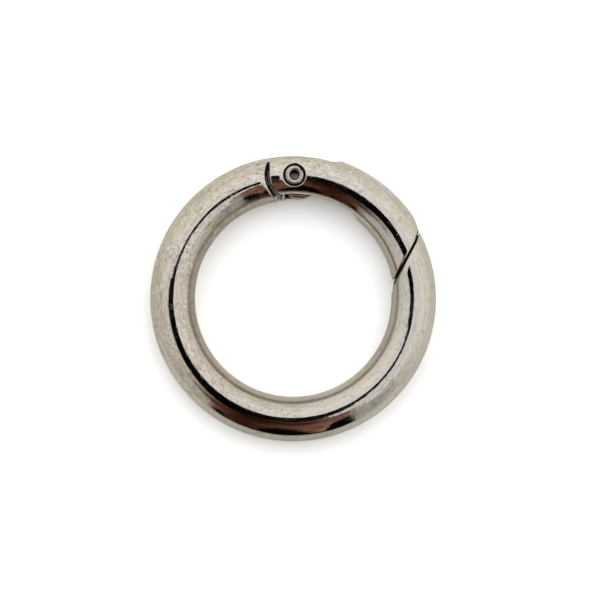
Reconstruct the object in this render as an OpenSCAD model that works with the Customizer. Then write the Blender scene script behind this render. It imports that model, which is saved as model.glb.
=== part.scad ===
// Round spring-gate ring, lying flat. A cast ring with a hinged gate that swings into the eye
// and is closed again by a torsion spring round the hinge rivet.
// Millimetres. The origin is the middle of the eye at half the ring's thickness, +Z is up,
// the hinge is on +Y and the gate runs clockwise from it to the latch.

/* [Ring] */
// Clear width of the eye
eye_d = 25; // [23:0.5:32]
// Thickness of the ring's round section
section_d = 5.7; // [5.5:0.1:6.2]

/* [Gate] */
// How far the gate's circle stands outside the ring's own circle
gate_offset = 0.35; // [0.1:0.05:0.5]
// How far the gate swings into the eye, in degrees
gate_open = 50; // [20:5:50]
// Angle at the middle of the eye, from +X, where the latch cut crosses the section
latch_angle = 20.2; // [16:0.2:26]
// Direction of the latch cut, from +X
latch_cut = 63; // [58:1:66]
// Gap between the two latch faces
latch_gap = 0.3; // [0.1:0.05:0.4]
// Distance along the cut from the section's middle to the ring's thin outer lip
lip_start = 2.4; // [2:0.1:3]
// How much steeper the cut runs along the lip, in degrees
lip_turn = 10.5; // [5:0.5:14]
// How far the flat on the gate's tip lies inside the ring's outer edge
tip_flat_depth = 0.08; // [0.04:0.02:0.2]
// Direction that the flat on the gate's tip faces, from +X
tip_flat_dir = 22.7; // [20:0.5:26]

/* [Hinge] */
// Radius of the gate's heel about the rivet
heel_r = 3.18; // [3:0.02:3.3]
// Gap between the heel and the ring's hollow shoulder
shoulder_gap = 0.64; // [0.4:0.02:0.8]
// Gap left at the outer end of the shoulder, where the heel runs straight
seam_gap = 0.12; // [0.08:0.02:0.2]
// Thickness of the ring's tongue
tongue_t = 2.65; // [2.5:0.05:2.8]
// Radius of the tongue's end about the rivet
tongue_r = 3.3; // [3.2:0.05:3.5]
// Gap between the tongue and each ear of the gate
ear_gap = 0.1; // [0.06:0.02:0.14]
// Distance from the rivet to the end wall of the gate's slot
slot_reach = 5.9; // [5.5:0.1:6.4]
// Direction that the slot runs from the rivet, from +X
slot_dir = 13.9; // [10:0.5:18]

/* [Rivet] */
// Diameter of the rivet's shank
shank_d = 1.8; // [1.6:0.05:1.9]
// Gap round the shank where the tongue turns on it
running_gap = 0.05; // [0.02:0.01:0.08]
// Gap round the shank where the ears hold it
seat_gap = 0.02; // [0.01:0.01:0.04]
// Diameter of the rivet's head and of its rolled end
rivet_head_d = 2.4; // [2.3:0.05:2.5]
// Height of the head and of the rolled end
rivet_head_h = 0.45; // [0.4:0.05:0.5]
// Gap round the head in its counterbore
counterbore_gap = 0.22; // [0.15:0.01:0.3]
// Depth of the counterbores below the top of the section
counterbore_depth = 0.8; // [0.7:0.05:0.9]
// Diameter of the hollow in the rivet's rolled end
rivet_hollow_d = 1.3; // [1.1:0.05:1.35]
// Depth of that hollow
rivet_hollow_depth = 0.85; // [0.6:0.05:1.2]

/* [Spring] */
// Diameter of the spring's wire
spring_d = 0.5; // [0.4:0.02:0.52]
// Gap between the rivet's shank and the coil
coil_gap = 0.25; // [0.2:0.01:0.3]
// Gap between the coil and the wall of its recess
recess_gap = 0.1; // [0.06:0.02:0.16]
// Gap between the coil's turns
turn_gap = 0.02; // [0.01:0.01:0.03]
// Gap between the coil and the web under it
coil_seat_gap = 0.03; // [0.02:0.01:0.06]
// Whole turns in the coil
coil_turns = 2; // [1:1:2]
// Thickness of the tongue's web under the coil
web_t = 0.87; // [0.8:0.02:0.92]
// Direction of the leg in the gate, from +X
gate_leg_dir = -10; // [-14:1:-6]
// How far the leg reaches into the gate beyond the slot's end wall
gate_leg_grip = 1.3; // [0.8:0.1:2]
// Gap round and beyond the leg in the gate's hole
leg_hole_gap = 0.1; // [0.05:0.01:0.15]
// Gap between the other leg and the wall of its notch
notch_gap = 0.07; // [0.04:0.01:0.1]
// Width of the notch where it leaves the recess
notch_w = 0.75; // [0.7:0.05:0.9]
// Distance from the rivet at which the notch begins to flare
notch_flare_r = 2.5; // [2.3:0.05:2.7]
// Angle of the notch's flare
notch_flare = 56; // [40:2:60]

/* [Hidden] */

section_r = section_d / 2;
ring_r = eye_d / 2 + section_r;
gate_r = ring_r + gate_offset;
pivot = [0, gate_r];
reach = 2 * (gate_r + section_d);

shoulder_r = heel_r + shoulder_gap;
slot_w = tongue_t + 2 * ear_gap;
latch_mid = ring_r * [cos(latch_angle), sin(latch_angle)];

shank_r = shank_d / 2;
rivet_head_r = rivet_head_d / 2;
counterbore_r = rivet_head_r + counterbore_gap;
ledge_z = section_r - counterbore_depth;
rivet_top = ledge_z + rivet_head_h;

spring_r = spring_d / 2;
coil_r = shank_r + coil_gap + spring_r;
recess_r = coil_r + spring_r + recess_gap;
web_z = -tongue_t / 2 + web_t;
gate_leg_z = web_z + coil_seat_gap + spring_r;
// The wire winds clockwise on its way down, from the leg in the notch to the leg in the gate.
coil_start = 180;
coil_sweep = 360 * coil_turns + coil_start - (gate_leg_dir + 90);
coil_rise = (spring_d + turn_gap) * coil_sweep / 360;
body_leg_z = gate_leg_z + coil_rise;
body_leg_tip = gate_r - sqrt(pow(eye_d / 2, 2) - pow(coil_r, 2));
// Distance along the gate's leg from the coil to the slot's end wall
leg_start = coil_r * [-sin(gate_leg_dir), cos(gate_leg_dir)];
slot_normal = [cos(slot_dir), sin(slot_dir)];
leg_to_wall = (slot_reach - leg_start * slot_normal) / cos(slot_dir - gate_leg_dir);
gate_leg_len = leg_to_wall + gate_leg_grip;
// The tongue's rim is open over the leg's whole swing, from its outer edge to its inner edge.
swing_spare = 5;
swing_from = gate_leg_dir + 90 - acos((coil_r + spring_r) / recess_r) + swing_spare;
swing_to = gate_leg_dir + 90 - acos((coil_r - spring_r) / tongue_r) - gate_open - swing_spare;

ROUND = 96;
WIRE_SIDES = 8;
COIL_STEPS = 40;

// A full ring of the section, about the middle of the eye
module section_ring(r) {
    rotate_extrude($fn = ROUND) translate([r, 0]) circle(r = section_r, $fn = ROUND / 2);
}

// The plan of everything on the gate's side of the hinge and of the latch cut
module gate_side(heel, seam, cut_shift) {
    out = section_d * 2;
    cut_dir = [cos(latch_cut), sin(latch_cut)];
    lip_dir = [cos(latch_cut + lip_turn), sin(latch_cut + lip_turn)];
    foot = latch_mid + cut_shift * [-sin(latch_cut), cos(latch_cut)];
    knee = foot + lip_start * cut_dir;
    translate(pivot) circle(r = heel, $fn = ROUND);
    polygon([
        [0, 0],
        foot - section_d * cut_dir,
        knee,
        knee + out * lip_dir,
        [reach, reach],
        [-seam, reach],
        [-seam, gate_r],
        [0, gate_r],
    ]);
}

module gate_side_prism(heel, seam, cut_shift) {
    linear_extrude(reach, center = true) gate_side(heel, seam, cut_shift);
}

// The ring's tongue: a slab of the section that ends round the rivet
module tongue_slab() {
    linear_extrude(tongue_t, center = true) {
        translate(pivot) circle(r = tongue_r, $fn = ROUND);
        translate([-reach, 0]) square([reach, reach]);
    }
}

// The hollow in the tongue for the coil and for both of its legs
module spring_recess() {
    notch_x = -coil_r - spring_r - notch_gap;
    notch_in = [notch_x + notch_w, -notch_flare_r];
    notch_out = notch_in + section_d * [sin(notch_flare), -cos(notch_flare)];
    past_rim = 2 * tongue_r;
    translate([pivot.x, pivot.y, web_z]) linear_extrude(tongue_t) {
        circle(r = recess_r, $fn = ROUND);
        polygon([[notch_x, 0], [notch_x, notch_out.y], notch_out, notch_in, [notch_in.x, 0]]);
        polygon([[0, 0], past_rim * [cos(swing_to), sin(swing_to)],
                 past_rim * [cos(swing_from), sin(swing_from)]]);
    }
}

module ring_body() {
    color("silver") difference() {
        section_ring(ring_r);
        difference() {
            gate_side_prism(shoulder_r, heel_r + seam_gap, -latch_gap / 2);
            difference() {
                tongue_slab();
                spring_recess();
            }
        }
        translate(pivot) cylinder(r = shank_r + running_gap, h = reach, center = true, $fn = ROUND);
    }
}

module counterbore() {
    translate([pivot.x, pivot.y, ledge_z]) cylinder(r = counterbore_r, h = section_d, $fn = ROUND);
}

// The straight stretch of the spring that lies in the gate, as a rod of radius r
module gate_leg_rod(r, len) {
    translate([pivot.x + leg_start.x, pivot.y + leg_start.y, gate_leg_z])
        rotate([0, 90, gate_leg_dir]) cylinder(r = r, h = len, $fn = 32);
}

module gate() {
    tip_flat = ring_r + section_r - tip_flat_depth;
    color("gainsboro") difference() {
        intersection() {
            section_ring(gate_r);
            gate_side_prism(heel_r, heel_r, latch_gap / 2);
        }
        rotate(tip_flat_dir) translate([tip_flat, -reach / 2, -reach / 2]) cube(reach);
        translate(pivot) rotate(slot_dir)
            translate([slot_reach - reach, -reach / 2, -slot_w / 2]) cube([reach, reach, slot_w]);
        translate(pivot) cylinder(r = shank_r + seat_gap, h = reach, center = true, $fn = ROUND);
        counterbore();
        mirror([0, 0, 1]) counterbore();
        gate_leg_rod(spring_r + leg_hole_gap, gate_leg_len + leg_hole_gap);
    }
}

// Semi-tubular rivet: a low domed head below, a hollow end rolled over the gate's ear above
module hinge_rivet() {
    roll_r = rivet_head_h / 2;
    hollow_r = rivet_hollow_d / 2;
    dome_r = (pow(rivet_head_r, 2) + pow(roll_r, 2)) / (2 * roll_r);
    color("lightgray") translate(pivot) difference() {
        union() {
            translate([0, 0, -ledge_z]) cylinder(r = shank_r, h = 2 * ledge_z + roll_r, $fn = ROUND);
            translate([0, 0, ledge_z + roll_r]) rotate_extrude($fn = ROUND)
                translate([rivet_head_r - roll_r, 0]) circle(r = roll_r, $fn = 32);
            translate([0, 0, -ledge_z - roll_r]) cylinder(r = rivet_head_r, h = roll_r, $fn = ROUND);
            intersection() {
                translate([0, 0, dome_r - ledge_z - rivet_head_h]) sphere(r = dome_r, $fn = ROUND);
                translate([0, 0, -ledge_z - roll_r - section_r])
                    cylinder(r = rivet_head_r, h = section_r, $fn = ROUND);
            }
        }
        translate([0, 0, rivet_top - rivet_hollow_depth]) cylinder(r = hollow_r, h = section_d, $fn = ROUND);
    }
}

// Points and directions along the spring's wire, from the leg in the notch to the leg in the gate
function coil_point(t) = let (a = coil_start - coil_sweep * t)
    [coil_r * cos(a), gate_r + coil_r * sin(a), body_leg_z - coil_rise * t];
wire_path = concat(
    [[-coil_r, gate_r - body_leg_tip, body_leg_z]],
    [for (i = [0:COIL_STEPS]) coil_point(i / COIL_STEPS)],
    [[leg_start.x + gate_leg_len * cos(gate_leg_dir),
      gate_r + leg_start.y + gate_leg_len * sin(gate_leg_dir), gate_leg_z]]);
function unit(v) = v / norm(v);
function heading(i) = unit(wire_path[min(i + 1, len(wire_path) - 1)] - wire_path[max(i - 1, 0)]);
// The wire never runs upright, so each ring of the sweep is squared to it by its level direction.
function wire_ring(i) = let (side = unit(cross(heading(i), [0, 0, 1])), up = cross(side, heading(i)))
    [for (k = [0:WIRE_SIDES - 1]) let (a = 360 * k / WIRE_SIDES)
        wire_path[i] + spring_r * (cos(a) * side + sin(a) * up)];

module gate_spring() {
    n = len(wire_path);
    points = [for (i = [0:n - 1]) each wire_ring(i)];
    sides = [for (i = [0:n - 2], k = [0:WIRE_SIDES - 1]) let (m = (k + 1) % WIRE_SIDES)
        [i * WIRE_SIDES + k, i * WIRE_SIDES + m, (i + 1) * WIRE_SIDES + m, (i + 1) * WIRE_SIDES + k]];
    caps = [[for (k = [WIRE_SIDES - 1:-1:0]) k], [for (k = [0:WIRE_SIDES - 1]) (n - 1) * WIRE_SIDES + k]];
    color("dimgray") polyhedron(points, concat(sides, caps));
}

ring_body();
gate();
hinge_rivet();
gate_spring();
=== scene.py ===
"""Spring-gate ring: a nickel-plated ring with a hinged gate, its hollow rivet and its torsion spring.

Sizes are in millimetres in the classes, and in metres in the finished meshes.
"""

import logging
import math
from dataclasses import dataclass, field
from enum import Enum
from typing import Callable, ClassVar

import bmesh
import bpy
import numpy as np
from mathutils import Matrix, Vector


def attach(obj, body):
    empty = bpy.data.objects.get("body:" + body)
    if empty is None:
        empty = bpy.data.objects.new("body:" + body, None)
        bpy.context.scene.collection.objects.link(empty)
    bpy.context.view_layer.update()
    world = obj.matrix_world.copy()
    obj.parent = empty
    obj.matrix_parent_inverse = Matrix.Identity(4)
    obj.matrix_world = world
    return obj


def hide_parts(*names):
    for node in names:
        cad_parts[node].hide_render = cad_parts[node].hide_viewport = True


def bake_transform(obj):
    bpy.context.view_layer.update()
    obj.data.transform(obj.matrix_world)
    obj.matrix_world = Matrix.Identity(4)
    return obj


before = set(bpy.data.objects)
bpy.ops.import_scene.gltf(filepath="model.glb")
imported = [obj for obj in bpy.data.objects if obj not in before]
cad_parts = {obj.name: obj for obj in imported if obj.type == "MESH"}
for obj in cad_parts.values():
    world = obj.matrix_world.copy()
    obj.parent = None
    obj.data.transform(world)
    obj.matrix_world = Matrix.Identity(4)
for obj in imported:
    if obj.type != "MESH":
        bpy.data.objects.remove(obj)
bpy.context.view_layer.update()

MM = 0.001
DEPTH = "depth"
# The step in degrees of the cells where the shape is fine.
FINE = 0.37
log = logging.getLogger("spring_ring")
Array = np.ndarray
Field = Callable[[Array], Array]
Socket = bpy.types.NodeSocket
Colour = tuple[float, float, float]


class Body(Enum):
    """The bodies that pieces move with."""

    RING = "ring"
    GATE = "gate"


class Slot(Enum):
    """The record's material slots."""

    RING = "nickel_plate"
    GATE = "nickel_plate_gate"
    RIVET = "rivet_steel"
    SPRING = "spring_steel"


# ---------------------------------------------------------------- node helpers


class Nodes:
    """Adds nodes to a shader or geometry tree and joins them."""

    def __init__(self, tree: bpy.types.NodeTree) -> None:
        """Starts on a tree.

        Args:
            tree: the shader or geometry tree that gets the nodes.
        """
        self.tree = tree

    def add(self, kind: str, inputs: dict | None = None, **settings: object) -> bpy.types.Node:
        """Adds one node.

        Args:
            kind: the node's type name.
            inputs: input name or number to a value, or to the socket that feeds it.
            settings: the node's own properties.

        Returns:
            The new node.
        """
        node = self.tree.nodes.new(kind)
        for name, value in settings.items():
            setattr(node, name, value)
        for key, value in (inputs or {}).items():
            socket = node.inputs[key] if isinstance(key, int) else self.named(node, key)
            if isinstance(value, Socket):
                self.tree.links.new(value, socket)
            else:
                socket.default_value = value
        return node

    @staticmethod
    def named(node: bpy.types.Node, name: str) -> Socket:
        """The input of that name that the node's settings switch on."""
        return next(s for s in node.inputs if s.name == name and s.enabled)

    def math(self, operation: str, *values: object, clamp: bool = False) -> Socket:
        """Adds a Math node.

        Args:
            operation: what it works out.
            values: its inputs in order, as numbers or sockets.
            clamp: keeps the result from 0 to 1.

        Returns:
            The result's socket.
        """
        made = self.add("ShaderNodeMath", dict(enumerate(values)), operation=operation, use_clamp=clamp)
        return made.outputs[0]

    def plus(self, a: object, b: object) -> Socket:
        """The sum a + b."""
        return self.math("ADD", a, b)

    def minus(self, a: object, b: object) -> Socket:
        """The difference a - b."""
        return self.math("SUBTRACT", a, b)

    def times(self, a: object, b: object, clamp: bool = False) -> Socket:
        """The product a * b."""
        return self.math("MULTIPLY", a, b, clamp=clamp)

    def over(self, a: object, b: object, clamp: bool = False) -> Socket:
        """The quotient a / b."""
        return self.math("DIVIDE", a, b, clamp=clamp)

    def line(self, a: object, b: object, c: object, clamp: bool = False) -> Socket:
        """The straight line a * b + c."""
        return self.math("MULTIPLY_ADD", a, b, c, clamp=clamp)

    def most(self, a: object, b: object) -> Socket:
        """The larger of a and b."""
        return self.math("MAXIMUM", a, b)

    def swing(self, value: object) -> Socket:
        """A noise's swing about its mean of a half."""
        return self.minus(value, 0.5)

    def length(self, x: object, y: object) -> Socket:
        """The length of the plane vector x, y."""
        return self.math("SQRT", self.plus(self.times(x, x), self.times(y, y)))

    def azimuth(self, x: object, y: object) -> Socket:
        """The azimuth of the plane vector x, y, from 0 to 1 round the circle from +X."""
        return self.math("FRACT", self.plus(self.over(self.math("ARCTAN2", y, x), 2 * math.pi), 1.0))

    def turned(self, radius: object, angle: Socket, height: object) -> Socket:
        """The point at that radius, angle in radians and height."""
        x, y = (self.times(radius, self.math(way, angle)) for way in ("COSINE", "SINE"))
        return self.add("ShaderNodeCombineXYZ", {0: x, 1: y, 2: height}).outputs[0]

    def moved(self, place: Socket, way: Socket) -> Socket:
        """A place moved by a vector."""
        return self.add("ShaderNodeVectorMath", {0: place, 1: way}, operation="ADD").outputs[0]

    def scaled(self, vector: Socket, by: object) -> Socket:
        """A vector times a number."""
        return self.add("ShaderNodeVectorMath", {0: vector, "Scale": by}, operation="SCALE").outputs[0]

    def bell(self, away: object) -> Socket:
        """A bell curve: 1 where away is 0, and 1/e where it is 1."""
        return self.math("POWER", 2.718, self.times(self.times(away, away), -1.0))

    def grey(self, level: Socket) -> Socket:
        """A grey of that level."""
        return self.add("ShaderNodeCombineColor", {0: level, 1: level, 2: level}).outputs[0]

    def step(self, value: object, low: object, high: object) -> Socket:
        """Rises smoothly from 0 to 1.

        Args:
            value: what is compared.
            low: where the result leaves 0.
            high: where it reaches 1.

        Returns:
            The result's socket.
        """
        made = self.add(
            "ShaderNodeMapRange",
            {"Value": value, "From Min": low, "From Max": high},
            interpolation_type="SMOOTHSTEP",
        )
        return made.outputs[0]

    def ramp(self, factor: Socket, stops: dict[float, Colour | float], span: float = 1.0) -> Socket:
        """Adds a colour ramp.

        Args:
            factor: the place along the ramp, from 0 to 1.
            stops: place to colour, or to a single level.
            span: the place that stands for a factor of 1.

        Returns:
            The colour's socket.
        """
        node = self.add("ShaderNodeValToRGB", {0: factor})
        band = node.color_ramp.elements
        for count, (place, colour) in enumerate(sorted(stops.items())):
            point = band[count] if count < 2 else band.new(place / span)
            point.position = place / span
            point.color = (*colour, 1) if isinstance(colour, tuple) else (colour, colour, colour, 1)
        return node.outputs[0]

    def mix(self, factor: object, a: object, b: object, blend: str = "MIX") -> Socket:
        """Mixes two colours.

        Args:
            factor: 0 for a, 1 for b.
            a: the first colour, as a socket or three levels.
            b: the second colour, likewise.
            blend: how they mix.

        Returns:
            The colour's socket.
        """
        a, b = ((*c, 1) if isinstance(c, tuple) else c for c in (a, b))
        return self.add("ShaderNodeMixRGB", {0: factor, 1: a, 2: b}, blend_type=blend).outputs[0]

    def noise(
        self, place: Socket, scale: float, detail: float = 2.0, rough: float = 0.5, fourth: Socket | None = None
    ) -> Socket:
        """Adds a noise.

        Args:
            place: the coordinates.
            scale: its fineness, per unit of the coordinates.
            detail: its octaves.
            rough: how strong the finer octaves are.
            fourth: a fourth coordinate, or none.

        Returns:
            The level's socket, about 0.5 on average.
        """
        inputs = {"Vector": place, "Scale": scale, "Detail": detail, "Roughness": rough}
        if fourth is None:
            return self.add("ShaderNodeTexNoise", inputs).outputs[0]
        return self.add("ShaderNodeTexNoise", {**inputs, "W": fourth}, noise_dimensions="4D").outputs[0]


# ------------------------------------------------------------------- finishes


@dataclass(frozen=True)
class Pattern:
    """What a finish is mixed from: places on the ring and noises, each as a socket.

    Places are x, the distance out from the ring's axis, the distance from the hinge's axis, and the depth
    below the round section. Noises are broad, fine, and wiped along the ring. The marks are specks, scratches,
    and scores. Sunk and deep are painted shade, partly grime: sunk below the round section, deep far below it
    and on the latch faces.
    """

    n: Nodes
    place: Socket
    x: Socket
    out: Socket
    from_pin: Socket
    broad: Socket
    fine: Socket
    wiped: Socket
    uneven: Socket
    specks: Socket
    scratches: Socket
    scores: Socket
    sunk: Socket
    deep: Socket


@dataclass(frozen=True)
class MetalFinish:
    """Plated or bare metal with its own grain, specks, scratches and pits, and painted shade, partly grime, in
    its recesses and gaps.

    The pattern lies in object coordinates, in millimetres.
    """

    # Tints: warm towards -X, and cool in patches.
    WARM: ClassVar[Colour] = (1.0, 0.965, 0.915)
    COOL: ClassVar[Colour] = (0.985, 0.99, 1.03)
    # A dark line painted where the inner flank reflects the horizon, at a set radius, and its half width.
    HORIZON_DARK: ClassVar[Colour] = (0.12, 0.08, 0.055)
    HORIZON_W: ClassVar[float] = 0.12
    # Grease within hollow_r of the hinge's axis, and the painted shade deep in the gaps.
    GREASE: ClassVar[Colour] = (0.36, 0.2, 0.12)
    GAP_SHADE: ClassVar[Colour] = (0.12, 0.11, 0.1)
    # Shift, stretch and fineness of each set of scratches.
    SCRATCH_SETS: ClassVar[tuple] = ((0.0, 0.5, 1.5), (4.0, 0.8, 1.1), (8.0, 0.35, 2.2))

    name: str
    colour: Colour
    stain: Colour
    # The near black of the painted shade in the recesses, partly grime.
    shade_and_grime: Colour = (0.012, 0.011, 0.009)
    roughness: float = 0.04
    haze: float = 0.05
    inner_haze: float = 0.17
    mottle: float = 0.42
    grain: float = 3.2
    drawn: float = 0.52
    grain_depth: float = 0.0017
    grit: float = 0.35
    swell: float = 0.009
    specks: float = 0.5
    pit_depth: float = 0.002
    score_depth: float = 0.002
    scratches: float = 0.5
    scratch_depth: float = 0.0008
    # The strength and the radius of the dark line painted where the horizon is reflected.
    horizon_line: float = 0.0
    horizon_r: float = 13.37
    hollow_r: float = 0.0
    seed: float = 0.0

    def pattern(self, n: Nodes) -> Pattern:
        """Lays out the places, the noises and the marks.

        Args:
            n: the material's nodes.

        Returns:
            Their sockets.
        """
        where = n.add("ShaderNodeTexCoord").outputs["Object"]
        shift = {"Vector": where, "Location": (self.seed, self.seed * 0.7, 0), "Scale": [1 / MM] * 3}
        place = n.add("ShaderNodeMapping", shift).outputs[0]
        x, y, z = n.add("ShaderNodeSeparateXYZ", {0: n.scaled(where, 1 / MM)}).outputs
        out, from_pin = n.length(x, y), n.length(x, n.minus(y, LAYOUT.gate_r))
        pull = n.over(LAYOUT.ring_r * self.drawn, out)
        round_way = n.add("ShaderNodeCombineXYZ", {0: n.times(x, pull), 1: n.times(y, pull), 2: out}).outputs[0]
        level = n.plus(z, self.seed)
        broad, fine = n.noise(place, 0.55, 2.0), n.noise(place, self.grain, 4.0, 0.8)
        scored = n.noise(round_way, self.grain * 1.15, 1.0, 0.5, level)

        patches = n.step(n.noise(place, 0.42, 1.0), 0.44, 0.66)
        specks = n.times(n.step(n.noise(place, 5.2, 2.0, 0.6), 0.655, 0.72), n.line(patches, 0.75, 0.25))
        uneven = n.line(n.step(n.line(y, -0.7, x), 13.0, -12.0), 0.9, 0.45)
        uneven = n.times(uneven, n.line(patches, 0.5, 0.75))
        uneven = n.times(uneven, n.line(n.step(out, 14.65, 14.25), 0.1, 1.0))

        # Painted shade, partly grime: sunk marks points below the round section, deep marks the gaps far below
        # it and the latch faces.
        depth = n.add("ShaderNodeAttribute", attribute_name=DEPTH).outputs["Fac"]
        below = n.line(n.swing(broad), 0.6, depth)
        latch_face = n.times(n.step(from_pin, 4.5, 6.0), n.step(below, 0.45, 0.95))
        deep = n.most(n.step(below, 1.15, 1.9), latch_face)
        sunk = n.times(n.step(n.line(n.swing(fine), 0.05, depth), 0.2, 0.36), n.minus(1.0, deep))
        return Pattern(
            n=n, place=place, x=x, out=out, from_pin=from_pin, broad=broad, fine=fine,
            wiped=n.noise(round_way, self.grain * 0.8, 3.0, 0.65, level), uneven=uneven, specks=specks,
            scratches=self.scratch_lines(n, round_way, level),
            scores=n.times(n.step(scored, 0.63, 0.70), uneven, clamp=True), sunk=sunk, deep=deep,
        )  # fmt: skip

    def scratch_lines(self, n: Nodes, round_way: Socket, level: Socket) -> Socket:
        """Fine scratches: thin level lines of a noise drawn out along the ring, in patches.

        Args:
            n: the tree's nodes.
            round_way: coordinates in millimetres that follow the ring.
            level: the fourth coordinate.

        Returns:
            The socket of the scratches' strength, from 0 to 1.
        """
        made = None
        for shift, stretch, scale in self.SCRATCH_SETS:
            setting = {"Vector": round_way, "Location": (shift, 0, 0), "Scale": (stretch, stretch, 1)}
            drawn = n.add("ShaderNodeMapping", setting).outputs[0]
            away = n.math("ABSOLUTE", n.swing(n.noise(drawn, scale, 1.5, 0.5, level)))
            patch = n.step(n.noise(drawn, scale * 0.7, 1.0, 0.5, level), 0.54, 0.62)
            line = n.times(n.minus(1.0, n.step(away, 0.004, 0.028)), patch)
            made = line if made is None else n.most(made, line)
        return n.times(made, self.scratches)

    def base(self, p: Pattern) -> Socket:
        """The metal's colour with its stains, a painted reflection of the horizon, and painted shade, partly
        grime, in its recesses and gaps.

        Args:
            p: the pattern.

        Returns:
            The colour's socket.
        """
        n = p.n
        dull = n.times(n.step(p.out, 14.65, 14.25), n.step(p.x, 7.0, -3.0))
        tint = n.times(n.swing(p.fine), 2.1)
        tint = n.line(n.swing(p.wiped), 1.9, tint)
        tint = n.line(n.swing(p.broad), 0.7, tint)
        tint = n.line(tint, n.times(p.uneven, self.mottle), n.line(dull, -0.11, 1.0))
        cool = tuple(c * s for c, s in zip(self.colour, self.COOL))
        base = n.mix(n.step(p.broad, 0.35, 0.75), self.colour, cool)
        base = n.mix(1.0, base, n.grey(tint), "MULTIPLY")
        base = n.mix(n.times(n.step(p.x, 4.0, -12.0), 0.9), base, n.mix(1.0, base, self.WARM, "MULTIPLY"))
        # A dark line painted where the inner flank reflects the horizon.
        horizon_line = n.bell(n.over(n.minus(p.out, self.horizon_r), self.HORIZON_W))
        base = n.mix(n.times(horizon_line, self.horizon_line), base, self.HORIZON_DARK)
        grease = n.line(n.step(n.noise(p.place, 1.9, 2.0), 0.42, 0.6), 0.7, 0.2)
        grease = n.times(grease, n.step(p.from_pin, self.hollow_r + 0.02, self.hollow_r - 0.1))
        base = n.mix(grease, base, self.GREASE)
        dirt = n.most(p.specks, n.times(n.most(p.scratches, p.scores), 0.9))
        base = n.mix(n.times(dirt, self.specks), base, self.stain)
        # Painted shade: dull grey deep in the gaps and on the latch faces, then near black in every recess.
        base = n.mix(n.times(p.deep, 0.45), base, self.GAP_SHADE)
        return n.mix(p.sunk, base, self.shade_and_grime)

    def rough(self, p: Pattern) -> Socket:
        """The roughness: haze, rougher marks, a hazy inner flank, and matt where shade is painted in the
        recesses and gaps.

        Args:
            p: the pattern.

        Returns:
            The roughness's socket.
        """
        n = p.n
        rough = n.line(n.step(p.fine, 0.35, 0.75), self.haze * 0.6, self.roughness)
        rough = n.line(n.step(p.broad, 0.4, 0.7), self.haze * 0.4, rough)
        rough = n.line(n.line(p.scratches, 0.4, p.specks), 0.2, rough)
        rough = n.line(n.step(p.out, 13.95, 13.4), self.inner_haze, rough)
        return n.line(n.most(p.sunk, p.deep), 0.25, rough, clamp=True)

    def relief(self, p: Pattern) -> Socket:
        """The grain, the pits, the scratches and the slow swell, as a height in millimetres.

        Args:
            p: the pattern.

        Returns:
            The height's socket.
        """
        n = p.n
        height = n.times(n.swing(p.fine), self.grain_depth * self.grit)
        height = n.line(n.swing(p.wiped), self.grain_depth, height)
        height = n.line(p.specks, -self.pit_depth, height)
        height = n.line(p.scores, -self.score_depth, height)
        height = n.line(p.scratches, -self.scratch_depth, height)
        return n.line(n.noise(p.place, 0.9, 1.0), self.swell, height)

    def material(self) -> bpy.types.Material:
        """Builds the material.

        Returns:
            A new material with this finish.
        """
        made = bpy.data.materials.new(self.name)
        made.use_nodes = True
        n = Nodes(made.node_tree)
        shader = made.node_tree.nodes["Principled BSDF"]
        shader.inputs["Specular IOR Level"].default_value = 0.1
        p = self.pattern(n)
        bump = n.add("ShaderNodeBump", {"Strength": 1.0, "Distance": MM, "Height": self.relief(p)}).outputs[0]
        surface = {
            "Base Color": self.base(p),
            # Painted shade: the recesses are not metallic, so they stay dark.
            "Metallic": n.line(n.step(p.sunk, 0.02, 0.22), -0.96, 1.0),
            "Roughness": self.rough(p),
            "Normal": bump,
        }
        for key, socket in surface.items():
            n.tree.links.new(socket, shader.inputs[key])
        return made


NICKEL = {"colour": (0.66, 0.605, 0.545), "stain": (0.24, 0.21, 0.18)}
# Each nickel finish sets the strength of its painted horizon line, and the gate's finish also its radius.
RING_NICKEL = MetalFinish("ring nickel", **NICKEL, specks=0.65, scratches=0.7, horizon_line=0.42)
GATE_NICKEL = MetalFinish(
    "gate nickel", **NICKEL, inner_haze=0.0, mottle=0.45, swell=0.014, specks=0.6, pit_depth=0.006, horizon_line=0.55,
    horizon_r=13.7, seed=7.3,
)  # fmt: skip
RIVET_STEEL = MetalFinish(
    "rivet steel", (0.62, 0.58, 0.53), (0.16, 0.11, 0.08), roughness=0.24, mottle=0.5, grain=5.0,
    grain_depth=0.008, grit=1.0, specks=0.8, hollow_r=0.65, seed=3.1,
)  # fmt: skip
SPRING_STEEL = MetalFinish(
    "spring steel", (0.46, 0.43, 0.4), (0.10, 0.08, 0.07), roughness=0.14, mottle=0.3, grain=4.0, seed=5.7
)


# ------------------------------------------------------------- solid helpers


def cut_round(a: Array, b: Array, r: float | Array) -> Array:
    """The part that two solids share, with its edge rounded.

    Args:
        a: distances to the first solid, negative inside.
        b: distances to the second solid.
        r: the edge's radius.

    Returns:
        Distances to the shared part.
    """
    return np.minimum(np.maximum(a, b), -r) + np.hypot(np.maximum(a + r, 0), np.maximum(b + r, 0))


def join_round(a: Array, b: Array, r: float | Array) -> Array:
    """Two solids made one, with the corner between them filled to a radius.

    Args:
        a: distances to the first solid, negative inside.
        b: distances to the second solid.
        r: the fillet's radius.

    Returns:
        Distances to the joined solid.
    """
    return -cut_round(-a, -b, r)


def smooth(share: Array) -> Array:
    """Eases shares in and out of 0 and 1, and keeps them there beyond."""
    share = np.clip(share, 0, 1)
    return share * share * (3 - 2 * share)


def from_axis(p: Array) -> Array:
    """Distances from the ring's axis."""
    return np.hypot(p[:, 0], p[:, 1])


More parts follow.
